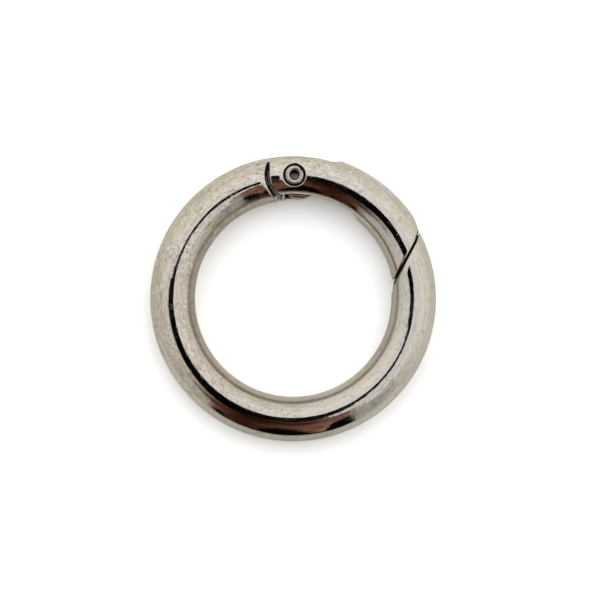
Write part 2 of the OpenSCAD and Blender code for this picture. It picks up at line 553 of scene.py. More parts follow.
def slope(field_of: Field, points: Array, reach: float = 2e-4) -> Array:
    """The gradient of a field.

    Args:
        field_of: the field.
        points: where, one row each.
        reach: the half step over which it is measured.

    Returns:
        One gradient for each point.
    """
    made = np.empty_like(points)
    for axis in range(3):
        shift = np.zeros(3)
        shift[axis] = reach
        made[:, axis] = (field_of(points + shift) - field_of(points - shift)) / (2 * reach)
    return made


@dataclass
class Skin:
    """A mesh in the making: points, their exact normals, and faces of three or four corners."""

    points: Array
    normals: Array
    faces: list[Array] = field(default_factory=list)

    def joined(self, other: "Skin") -> "Skin":
        """This skin and another one in a single list of points.

        Args:
            other: the second skin; its points follow this one's.

        Returns:
            The skin of both.
        """
        moved = [f + len(self.points) for f in other.faces]
        pairs = ((self.points, other.points), (self.normals, other.normals))
        return Skin(*map(np.vstack, pairs), self.faces + moved)

    def rims(self) -> list[Array]:
        """The points that lie on an open edge.

        Returns:
            Their numbers, as one list.
        """
        pairs = np.vstack([np.stack([f, np.roll(f, -1, 1)], -1).reshape(-1, 2) for f in self.faces])
        pairs.sort(1)
        single, count = np.unique(pairs, axis=0, return_counts=True)
        return np.unique(single[count == 1])

    def mesh(self, name: str, material: bpy.types.Material, depth: Array) -> bpy.types.Mesh:
        """Turns the skin into a mesh in metres, with its faces outwards and its exact normals.

        Args:
            name: the mesh's name.
            material: its finish.
            depth: how far each point lies below the open surface, in millimetres.

        Returns:
            The mesh.
        """
        turned = []
        for corners in self.faces:
            across = self.points[corners[:, 2]] - self.points[corners[:, 0]]
            other = self.points[corners[:, -1]] - self.points[corners[:, 1]]
            wrong = (np.cross(across, other) * self.normals[corners].mean(1)).sum(1) < 0
            turned += np.where(wrong[:, None], corners[:, ::-1], corners).tolist()
        made = bpy.data.meshes.new(name)
        made.from_pydata((self.points * MM).tolist(), [], turned)
        made.polygons.foreach_set("use_smooth", [True] * len(made.polygons))
        made.normals_split_custom_set_from_vertices(self.normals.tolist())
        made.materials.append(material)
        return marked(made, depth)


@dataclass
class ArcCells:
    """Cells round an arc of the ring, in which a solid's surface is found.

    Fields are the arc's angles in radians, the radius in the middle of the cells, half the width and height
    that they cover, and their size across.
    """

    angles: Array
    middle: float
    half: float = 3.0
    step: float = 0.1

    def skin(self, solid: Field) -> Skin:
        """Finds the surface: one point in each cell that it crosses, moved onto it.

        Args:
            solid: distances to the solid, negative inside.

        Returns:
            The surface, open where it leaves the arc.
        """
        count = 2 * int(round(self.half / self.step)) + 1
        across = np.linspace(-self.half, self.half, count) + 0.37 * self.step
        axes = (self.angles, self.middle + across, across)
        value = solid(self.place(*np.meshgrid(*axes, indexing="ij"))).reshape([len(a) for a in axes])
        inside = value < 0
        full = np.ones([len(a) - 1 for a in axes], bool)
        none = full.copy()
        corner = [(i, j, k) for i in (0, 1) for j in (0, 1) for k in (0, 1)]
        for c in corner:
            part = inside[tuple(slice(o, o + s) for o, s in zip(c, full.shape))]
            full &= part
            none &= ~part
        cell = np.argwhere(~full & ~none)
        number = np.full(full.shape, -1)
        number[tuple(cell.T)] = np.arange(len(cell))

        total, hits = np.zeros((len(cell), 3)), np.zeros(len(cell))
        for c in corner:
            for axis in range(3):
                if c[axis]:
                    continue
                low = cell + c
                high = low.copy()
                high[:, axis] += 1
                a, b = value[tuple(low.T)], value[tuple(high.T)]
                crossed = (a < 0) != (b < 0)
                share = np.where(crossed, a / np.where(crossed, a - b, 1), 0)
                spot = np.stack([axes[k][low[:, k]] for k in range(3)], 1)
                spot[:, axis] += share * (axes[axis][high[:, axis]] - axes[axis][low[:, axis]])
                total += np.where(crossed[:, None], spot, 0)
                hits += crossed
        points = self.place(*(total / hits[:, None]).T)
        for _ in range(4):
            g = slope(solid, points)
            move = -solid(points)[:, None] * g / np.maximum((g * g).sum(1), 0.2)[:, None]
            length = np.linalg.norm(move, axis=1)[:, None]
            points += move * np.minimum(1, 0.6 * self.step / np.maximum(length, 1e-12))
        normals = slope(solid, points)
        normals /= np.maximum(np.linalg.norm(normals, axis=1), 1e-9)[:, None]
        return Skin(points, normals, [self.faces(inside, number)])

    @staticmethod
    def faces(inside: Array, number: Array) -> Array:
        """Four-cornered faces, one for each grid line that the surface crosses.

        Args:
            inside: whether each grid point is in the solid.
            number: each cell's point, or -1.

        Returns:
            The faces' corners.
        """
        made = []
        for axis in range(3):
            a, b = (axis + 1) % 3, (axis + 2) % 3
            low = np.take(inside, range(inside.shape[axis] - 1), axis)
            high = np.take(inside, range(1, inside.shape[axis]), axis)
            at = np.argwhere(low != high)
            room = (at[:, a] > 0) & (at[:, a] < inside.shape[a] - 1)
            room &= (at[:, b] > 0) & (at[:, b] < inside.shape[b] - 1)
            at = at[room]
            ring = []
            for da, db in ((1, 1), (0, 1), (0, 0), (1, 0)):
                c = at.copy()
                c[:, a] -= da
                c[:, b] -= db
                ring.append(number[tuple(c.T)])
            made.append(np.stack(ring, 1))
        return np.vstack(made)

    @staticmethod
    def place(angle: Array, radius: Array, height: Array) -> Array:
        """Points from angle, radius and height, one row each."""
        made = (radius * np.cos(angle), radius * np.sin(angle), height)
        return np.stack([np.broadcast_to(m, np.shape(angle)).ravel() for m in made], 1)


def marked(mesh: bpy.types.Mesh, depth: Array) -> bpy.types.Mesh:
    """Notes on a mesh how far each point lies below the open surface, for the painted shade there, partly
    grime.

    Args:
        mesh: the mesh.
        depth: millimetres for each point.

    Returns:
        The same mesh.
    """
    mesh.attributes.new(DEPTH, "FLOAT", "POINT").data.foreach_set("value", depth.astype(np.float32))
    return mesh


def smooth_mesh(mesh: bpy.types.Mesh, sharp: float) -> bpy.types.Mesh:
    """Finishes a grown mesh: metres, faces outwards, smooth but for its sharp edges.

    Args:
        mesh: a closed mesh in millimetres.
        sharp: the least angle of a sharp edge, in degrees.

    Returns:
        The same mesh.
    """
    work = bmesh.new()
    work.from_mesh(mesh)
    bmesh.ops.remove_doubles(work, verts=work.verts, dist=1e-5)
    bmesh.ops.recalc_face_normals(work, faces=work.faces)
    work.to_mesh(mesh)
    work.free()
    mesh.transform(Matrix.Scale(MM, 4))
    mesh.polygons.foreach_set("use_smooth", [True] * len(mesh.polygons))
    mesh.set_sharp_from_angle(angle=math.radians(sharp))
    return mesh


def eased(away: Array, length: float | Array, drop: float) -> Array:
    """A surface's gentle fall towards an edge.

    Args:
        away: distances from the edge.
        length: how far from the edge the fall starts.
        drop: the fall at the edge.

    Returns:
        The fall at each point.
    """
    near = np.clip(1 - away / length, 0, 1)
    return drop * near * near


def spaced(*stretches: tuple[float, float, float]) -> Array:
    """Angles for the cells of an arc.

    Args:
        stretches: the first angle, the last angle and the step of each stretch, in degrees.

    Returns:
        The angles in radians.
    """
    made = [np.linspace(a, b, int(math.ceil((b - a) / s)) + 1)[:-1] for a, b, s in stretches]
    return np.radians(np.concatenate([*made, [stretches[-1][1]]]))


# ------------------------------------------------------- geometry node helpers


def linked(name: str, data: bpy.types.ID) -> bpy.types.Object:
    """Puts a new object into the scene.

    Args:
        name: its name.
        data: its mesh or camera.

    Returns:
        The object.
    """
    made = bpy.data.objects.new(name, data)
    bpy.context.scene.collection.objects.link(made)
    return made


class Growth:
    """A geometry node tree with named inputs, and the mesh that it makes."""

    KINDS: ClassVar[dict[type, str]] = {
        float: "NodeSocketFloat",
        int: "NodeSocketInt",
        tuple: "NodeSocketVector",
    }

    def __init__(self, name: str, inputs: dict[str, object], material: bpy.types.Material) -> None:
        """Starts the tree.

        Args:
            name: the tree's name.
            inputs: each input's name and value.
            material: the finish of what grows.
        """
        self.name = name
        self.values = {**inputs, "Finish": material}
        self.tree = bpy.data.node_groups.new(name, "GeometryNodeTree")
        face = self.tree.interface
        face.new_socket("Geometry", in_out="INPUT", socket_type="NodeSocketGeometry")
        for key, value in inputs.items():
            face.new_socket(key, in_out="INPUT", socket_type=self.KINDS[type(value)])
        face.new_socket("Finish", in_out="INPUT", socket_type="NodeSocketMaterial")
        face.new_socket("Geometry", in_out="OUTPUT", socket_type="NodeSocketGeometry")
        self.nodes = Nodes(self.tree)
        self.inputs = self.nodes.add("NodeGroupInput").outputs

    def swept(self, path: Socket, caps: bool = False) -> Socket:
        """Sweeps a circle along a path, by the inputs Sides and Section radius.

        Args:
            path: the path's socket.
            caps: closes both ends.

        Returns:
            The mesh's socket.
        """
        circle = {"Resolution": self.inputs["Sides"], "Radius": self.inputs["Section radius"]}
        section = self.nodes.add("GeometryNodeCurvePrimitiveCircle", circle, mode="RADIUS").outputs[0]
        curves = {"Curve": path, "Profile Curve": section, "Fill Caps": caps}
        return self.nodes.add("GeometryNodeCurveToMesh", curves).outputs[0]

    def close(self, shape: Socket) -> None:
        """Ends the tree with Realize Instances and Set Material.

        Args:
            shape: the finished geometry's socket.
        """
        real = self.nodes.add("GeometryNodeRealizeInstances", {"Geometry": shape}).outputs[0]
        finish = {"Geometry": real, "Material": self.inputs["Finish"]}
        self.nodes.add("NodeGroupOutput", {0: self.nodes.add("GeometryNodeSetMaterial", finish).outputs[0]})

    def grow(self, start: bpy.types.Mesh | None = None) -> bpy.types.Mesh:
        """Runs the tree.

        Args:
            start: the mesh that it works on, if it takes one.

        Returns:
            A plain mesh, in millimetres.
        """
        seed = linked(self.name, start or bpy.data.meshes.new(self.name))
        modifier = seed.modifiers.new(self.name, "NODES")
        modifier.node_group = self.tree
        for item in self.tree.interface.items_tree:
            if item.item_type == "SOCKET" and item.in_out == "INPUT" and item.name in self.values:
                modifier[item.identifier] = self.values[item.name]
        seen = seed.evaluated_get(bpy.context.evaluated_depsgraph_get())
        made = bpy.data.meshes.new_from_object(seen)
        seed.modifiers.remove(modifier)
        bpy.data.objects.remove(seed)
        return made


def dressed(piece: bpy.types.Object, node: str) -> bpy.types.Object:
    """Hides the plain solid that a piece stands for, and logs the piece's face count.

    Args:
        piece: the piece, which already rides on its body.
        node: the plain solid that it stands for.

    Returns:
        The same piece.
    """
    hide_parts(node)
    log.info("%s: %d faces", piece.name, len(piece.data.polygons))
    return piece


def shown(name: str, mesh: bpy.types.Mesh, body: Body, node: str) -> bpy.types.Object:
    """Puts a finished mesh into the scene, on one body and in the place of its plain solid.

    Args:
        name: the piece's name.
        mesh: its mesh, in metres.
        body: what it moves with.
        node: the plain solid that it stands for.

    Returns:
        The piece.
    """
    piece = linked(name, mesh)
    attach(piece, body.value)
    return dressed(piece, node)


# ------------------------------------------------------------------ the pieces


@dataclass(frozen=True)
class Layout:
    """Sizes that more than one piece keeps to.

    Here and in the pieces, angles and directions are in degrees, and a rim is the rounding of an edge.
    """

    ring_r: float = 15.35
    gate_r: float = 15.70
    section_r: float = 2.85
    shank_r: float = 0.9
    head_r: float = 1.2
    head_h: float = 0.45
    ledge_z: float = 2.05
    latch_angle: float = 20.2
    latch_cut: float = 63.0
    latch_gap: float = 0.3
    latch_land: float = 0.22
    land_inset: float = 0.3
    land_slope: float = 0.2
    land_lap: float = 0.12
    lip_start: float = 2.4
    lip_turn: float = 10.5
    leg_dir: float = -10.0
    web_z: float = -0.455

    def tube(self, p: Array, radius: float) -> Array:
        """Distances to the round section bent to a ring of that radius."""
        return np.hypot(from_axis(p) - radius, p[:, 2]) - self.section_r

    def depth(self, p: Array, radius: float) -> Array:
        """How far points lie below the round section."""
        return np.maximum(-self.tube(p, radius), 0)

    def from_pivot(self, p: Array) -> Array:
        """Distances to the hinge's axis."""
        return np.hypot(p[:, 0], p[:, 1] - self.gate_r)

    def latch_side(self, p: Array, shift: float) -> Array:
        """Distances to the gate's side of the latch cut.

        Args:
            p: the points.
            shift: how far the cut moves towards the gate.

        Returns:
            Distances, negative on the gate's side.
        """
        at, turn = math.radians(self.latch_angle), math.radians(self.latch_cut)
        mid = self.ring_r * np.array([math.cos(at), math.sin(at)])
        foot = mid + shift * np.array([-math.sin(turn), math.cos(turn)])
        knee = foot + self.lip_start * np.array([math.cos(turn), math.sin(turn)])
        straight, lip = (
            (p[:, 0] - base[0]) * math.sin(angle) - (p[:, 1] - base[1]) * math.cos(angle)
            for base, angle in ((foot, turn), (knee, turn + math.radians(self.lip_turn)))
        )
        return np.maximum(straight, lip)

    def land(self, tube: Array, height: Array) -> Array:
        """How far a latch face stands out below its rim, where it nearly meets the other face.

        The lands overlap like the two halves of a joint, so nothing shows through the gap.

        Args:
            tube: distances to the round section.
            height: height above the face's low side, negative where the other face stands out.

        Returns:
            The height of the land at each point.
        """
        share = 0.08 + 0.84 * np.clip(height / self.land_lap + 0.5, 0, 1)
        return self.latch_land * share * smooth((-tube - self.land_inset) / self.land_slope)

    def heel_side(self, p: Array, heel: float, seam: float) -> Array:
        """Distances to the gate's side of the hinge.

        Args:
            p: the points.
            heel: the round heel's radius about the rivet.
            seam: how far the straight seam beyond the rivet lies from it.

        Returns:
            Distances, negative on the gate's side.
        """
        beyond = p[:, 1] > self.gate_r
        return np.minimum(self.from_pivot(p) - heel, np.where(beyond, -(p[:, 0] + seam), -p[:, 0]))


LAYOUT = Layout()


@dataclass
class RingBody:
    """The fixed ring: a plain arc, the latch end, and the hinge end with its tongue and spring notch."""

    heel: float = 3.72
    seam: float = 3.30
    tongue_t: float = 2.65
    tongue_r: float = 3.3
    bore_r: float = 0.95
    recess_r: float = 1.75
    notch_x: float = -1.72
    notch_w: float = 0.75
    notch_flare_r: float = 2.5
    notch_flare: float = 56.0
    notch_fillet: float = 0.45
    swing_from: float = 65.5
    swing_to: float = -44.6
    arc_from: float = 108.0
    arc_to: float = 362.0
    seam_w: float = 1.0
    rim_r: float = 0.26
    tongue_rim: float = 0.12
    recess_rim: float = 0.09
    bore_rim: float = 0.05
    worn: float = 0.05
    worn_w: float = 0.9
    latch_rim: float = 0.1
    latch_inner_rim: float = 0.4
    latch_worn: float = 0.13
    latch_worn_w: float = 0.8
    # A stripe on the tongue's flat top, next to the gate's heel, left lighter in the painted shade.
    track_r: float = 3.33
    track_half: float = 0.2
    track_edge: float = 0.09
    track_depth: float = 0.25
    roll_off: float = 3.0
    roll_hinge: float = 128.0
    roll_latch: float = -10.0
    roll_over: float = 12.0
    roll_half: float = 1.7
    sides: int = 120
    steps: int = 180

    def recess(self, p: Array) -> Array:
        """Distances to the hollow in the tongue for the coil and both of its legs.

        Args:
            p: the points.

        Returns:
            Distances, negative in the hollow.
        """
        x, y, z = p[:, 0], p[:, 1] - LAYOUT.gate_r, p[:, 2]
        flare = math.radians(self.notch_flare)
        wall = x - (self.notch_x + self.notch_w)
        slant = wall * math.cos(flare) + (y + self.notch_flare_r) * math.sin(flare)
        notch = np.maximum(np.maximum(self.notch_x - x, y), join_round(wall, slant, self.notch_fillet))
        to, start = math.radians(self.swing_to), math.radians(self.swing_from)
        swing = np.maximum(math.sin(to) * x - math.cos(to) * y, -math.sin(start) * x + math.cos(start) * y)
        plan = np.minimum(np.minimum(LAYOUT.from_pivot(p) - self.recess_r, notch), swing)
        return np.maximum(LAYOUT.web_z - z, plan)

    def hinge_end(self, p: Array) -> Array:
        """Distances to the ring near the hinge.

        Args:
            p: the points.

        Returns:
            Distances, negative inside.
        """
        plan = np.minimum(LAYOUT.from_pivot(p) - self.tongue_r, p[:, 0])
        tongue = cut_round(np.abs(p[:, 2]) - self.tongue_t / 2, plan, self.tongue_rim)
        tongue = cut_round(tongue, -self.recess(p), self.recess_rim)
        shoulder = LAYOUT.heel_side(p, self.heel, self.seam)
        kept = join_round(-shoulder, tongue, self.tongue_rim)
        fall = np.where(shoulder > 0, eased(shoulder, self.worn_w, self.worn), self.worn)
        made = cut_round(LAYOUT.tube(p, LAYOUT.ring_r) + fall, kept, self.rim_r)
        return cut_round(made, self.bore_r - LAYOUT.from_pivot(p), self.bore_rim)

    def latch_end(self, p: Array) -> Array:
        """Distances to the ring near the latch.

        Args:
            p: the points.

        Returns:
            Distances, negative inside.
        """
        out = from_axis(p)
        inner = smooth((LAYOUT.ring_r - 0.8 - out) / 2.0)
        rim = self.latch_rim + (self.latch_inner_rim - self.latch_rim) * inner
        tube = LAYOUT.tube(p, LAYOUT.ring_r)
        cut = LAYOUT.latch_side(p, -LAYOUT.latch_gap / 2) + LAYOUT.land(tube, p[:, 2])
        outer = np.clip((out - LAYOUT.ring_r - 0.3) / 1.6, 0, 1)
        fall = eased(cut, self.latch_worn_w, self.latch_worn) * (1 - 0.85 * outer)
        return cut_round(tube + fall, -cut, rim)

    def arc(self, material: bpy.types.Material) -> Skin:
        """The plain arc, swept by geometry nodes.

        Args:
            material: the ring's finish.

        Returns:
            The arc's skin, open at both ends.
        """
        growth = Growth(
            "ring arc",
            {
                "Radius": LAYOUT.ring_r,
                "Section radius": LAYOUT.section_r,
                "Start Angle": math.radians(self.arc_from + self.seam_w),
                "Sweep Angle": math.radians(self.arc_to - self.arc_from - 2 * self.seam_w),
                "Resolution": self.steps,
                "Sides": self.sides,
            },
            material,
        )
        arc = {key: growth.inputs[key] for key in ("Resolution", "Radius", "Start Angle", "Sweep Angle")}
        growth.close(growth.swept(growth.nodes.add("GeometryNodeCurveArc", arc, mode="RADIUS").outputs[0]))
        mesh = growth.grow()
        points = np.array([v.co for v in mesh.vertices])
        faces = np.array([list(f.vertices) for f in mesh.polygons])
        return Skin(*self.on_section(points, np.arctan2(points[:, 1], points[:, 0])), [faces])

    @staticmethod
    def on_section(points: Array, angle: Array) -> tuple[Array, Array]:
        """Moves points straight out or in onto the plain round section.

        Args:
            points: the points.
            angle: the ring angle in radians that each one gets.

        Returns:
            The points on the section, and their outward normals.
        """
        way = np.stack([from_axis(points) - LAYOUT.ring_r, points[:, 2]], 1)
        way /= np.linalg.norm(way, axis=1)[:, None]
        out = ArcCells.place(angle, way[:, 0], way[:, 1])
        return ArcCells.place(angle, LAYOUT.ring_r, 0) + out * LAYOUT.section_r, out

    def zipped(self, skin: Skin, near: float) -> None:
        """Closes the ring seam between an end piece and the plain arc with a band of triangles.

        Args:
            skin: the joined skin, which gets the band.
            near: the ring angle of the seam, in degrees.
        """
        rim = skin.rims()
        angle = np.degrees(np.arctan2(skin.points[rim, 1], skin.points[rim, 0]))
        off = (angle - near + 180) % 360 - 180
        close = np.abs(off) < 2.5
        rim, off = rim[close], off[close]
        middle = (off.min() + off.max()) / 2
        loops = []
        for part in (rim[off < middle], rim[off >= middle]):
            p = skin.points[part]
            turn = np.arctan2(p[:, 2], from_axis(p) - LAYOUT.ring_r)
            order = np.argsort(turn)
            loops.append((part[order], turn[order]))
        (one, one_turn), (two, two_turn) = loops
        made, i, j = [], 0, 0
        while i < len(one) or j < len(two):
            a, b = one[i % len(one)], two[j % len(two)]
            next_one = one_turn[(i + 1) % len(one)] + 2 * math.pi * ((i + 1) // len(one))
            next_two = two_turn[(j + 1) % len(two)] + 2 * math.pi * ((j + 1) // len(two))
            if j >= len(two) or (i < len(one) and next_one <= next_two):
                made.append((a, one[(i + 1) % len(one)], b))
                i += 1
            else:
                made.append((a, two[(j + 1) % len(two)], b))
                j += 1
        skin.faces.append(np.array(made))

    def snapped(self, skin: Skin, at: float) -> Skin:
        """Moves the open rim of an end piece onto the plain section at a ring angle.

        Args:
            skin: the end piece.
            at: the ring angle in degrees.

        Returns:
            The same skin.
        """
        rim = skin.rims()
        turn = np.full(len(rim), math.radians(at))
        skin.points[rim], skin.normals[rim] = self.on_section(skin.points[rim], turn)
        return skin

    def rolled_off(self, skin: Skin) -> None:
        """Leans the normals of the inner flank inwards next to both ends, where polishing rolled it off.

        Args:
            skin: the whole ring's skin.
        """
        p = skin.points
        radius = from_axis(p)
        angle = np.degrees(np.arctan2(p[:, 1], p[:, 0]))
        hinge = np.clip((self.roll_hinge - angle) / self.roll_over, 0, 1) * (angle > 90)
        latch = np.clip((angle - self.roll_latch) / self.roll_over, 0, 1) * (np.abs(angle) < 60)
        inward = LAYOUT.ring_r - radius
        flank = np.clip(inward / 0.2, 0, 1) * np.clip((self.roll_half - inward) / 0.8, 0, 1)
        plain = np.clip(1 + LAYOUT.tube(p, LAYOUT.ring_r) / 0.05, 0, 1)
        lean = math.radians(self.roll_off) * (hinge + latch) * flank * plain
        skin.normals[:, :2] -= lean[:, None] * p[:, :2] / radius[:, None]
        skin.normals /= np.linalg.norm(skin.normals, axis=1)[:, None]

    def wiped(self, points: Array) -> Array:
        """Depths for the painted shade in the finish, less on a stripe of the tongue's flat top next to the
        gate's heel, which is left lighter.

        Args:
            points: the ring's points.

        Returns:
            A depth for each point.
        """
        depth = LAYOUT.depth(points, LAYOUT.ring_r)
        flat = (np.abs(np.abs(points[:, 2]) - self.tongue_t / 2) < 0.05) & (points[:, 0] < 0)
        # The stripe left lighter in the painted shade.
        off = np.abs(LAYOUT.from_pivot(points) - self.track_r)
        near = np.clip((self.track_half - off) / self.track_edge, 0, 1)
        fade = np.clip((LAYOUT.gate_r + 1.6 - points[:, 1]) / 1.2, 0, 1)
        return np.where(flat, depth - (depth - self.track_depth) * near * fade, depth)

    def build(self) -> bpy.types.Object:
        """Builds the ring.

        Returns:
            The finished piece.
        """
        material = RING_NICKEL.material()
        latch_from = self.arc_to - 360
        hinge = ArcCells(spaced((76, 106, FINE), (106, self.arc_from, 0.5)), LAYOUT.ring_r)
        latch = ArcCells(spaced((latch_from, 4, 0.5), (4, 32, FINE)), LAYOUT.ring_r)
        whole = self.arc(material).joined(self.snapped(hinge.skin(self.hinge_end), self.arc_from))
        whole = whole.joined(self.snapped(latch.skin(self.latch_end), latch_from))
        self.zipped(whole, self.arc_from + self.seam_w / 2)
        self.zipped(whole, self.arc_to - self.seam_w / 2)
        self.rolled_off(whole)
        mesh = whole.mesh("ring_body_plated", material, self.wiped(whole.points))
        return shown("ring_body_plated", mesh, Body.RING, "ring_body")


@dataclass
class Gate:
    """The gate: a fork of two ears round the tongue, with counterbores for the rivet."""

    heel: float = 3.18
    slot_w: float = 2.85
    slot_reach: float = 5.99
    slot_dir: float = 16.7
    slot_end_r: tuple[float, float] = (0.4, 1.15)
    bore_r: float = 0.92
    counterbore_r: float = 1.42
    tip_flat: float = 18.12
    tip_flat_dir: float = 22.7
    leg_hole_r: float = 0.35
    leg_start: tuple[float, float, float] = (0.2431, 1.3787, -0.175)
    leg_len: float = 7.233
    rim_r: float = 0.2
    crisp_rim: float = 0.03
    counterbore_rim: float = 0.15
    counterbore_worn: float = 0.035
    slot_rim: float = 0.14
    latch_rim: float = 0.12
    tip_rim: float = 0.3

    def slot(self, p: Array) -> Array:
        """Distances to the slot for the tongue, whose far end is rounder towards the outside.

        Args:
            p: the points.

        Returns:
            Distances, negative in the slot.
        """
        turn = math.radians(self.slot_dir)
        along = p[:, 0] * math.cos(turn) + (p[:, 1] - LAYOUT.gate_r) * math.sin(turn) - self.slot_reach
        outer = np.clip((from_axis(p) - LAYOUT.gate_r) / 2.0 + 0.5, 0, 1)
        end_r = self.slot_end_r[0] + (self.slot_end_r[1] - self.slot_end_r[0]) * outer
        return cut_round(np.abs(p[:, 2]) - self.slot_w / 2, along, end_r)

    def leg_hole(self, p: Array) -> Array:
        """Distances to the blind hole for the spring's leg.

        Args:
            p: the points.

        Returns:
            Distances, negative in the hole.
        """
        leg = math.radians(LAYOUT.leg_dir)
        x, y, z = (p - (0, LAYOUT.gate_r, 0) - self.leg_start).T
        run = x * math.cos(leg) + y * math.sin(leg)
        off = np.hypot(y * math.cos(leg) - x * math.sin(leg), z) - self.leg_hole_r
        return np.maximum(off, np.maximum(run - self.leg_len, -run))

    def solid(self, p: Array) -> Array:
        """Distances to the gate.

        Args:
            p: the points.

        Returns:
            Distances, negative inside.
        """
        tube = LAYOUT.tube(p, LAYOUT.gate_r)
        tip = smooth((LAYOUT.ring_r + 0.6 - from_axis(p)) / 1.2)
        rim = self.latch_rim + (self.tip_rim - self.latch_rim) * tip
        made = cut_round(tube, LAYOUT.latch_side(p, LAYOUT.latch_gap / 2) - LAYOUT.land(tube, -p[:, 2]), rim)
        made = cut_round(made, LAYOUT.heel_side(p, self.heel, self.heel), self.rim_r)
        way = math.radians(self.tip_flat_dir)
        flat = p[:, 0] * math.cos(way) + p[:, 1] * math.sin(way) - self.tip_flat
        made = cut_round(made, flat, self.crisp_rim)
        made = cut_round(made, -self.slot(p), self.slot_rim)
        pivot = LAYOUT.from_pivot(p)
        made = cut_round(made, self.bore_r - pivot, self.crisp_rim)
        away = pivot - self.counterbore_r
        sunk = np.maximum(away, LAYOUT.ledge_z - np.abs(p[:, 2]))
        left = np.clip(-p[:, 0] / pivot.clip(0.1), 0, 1)
        fall = eased(away, 0.25 + 0.5 * left, self.counterbore_worn)
        made = cut_round(made + fall, -sunk, self.counterbore_rim)
        return np.maximum(made, -self.leg_hole(p))

    def build(self) -> bpy.types.Object:
        """Builds the gate.

        Returns:
            The finished piece.
        """
        cells = ArcCells(spaced((6, 34, FINE), (34, 62, 0.8), (62, 104, FINE)), LAYOUT.gate_r)
        skin = cells.skin(self.solid)
        mesh = skin.mesh("gate_plated", GATE_NICKEL.material(), LAYOUT.depth(skin.points, LAYOUT.gate_r))
        return shown("gate_plated", mesh, Body.GATE, "gate")


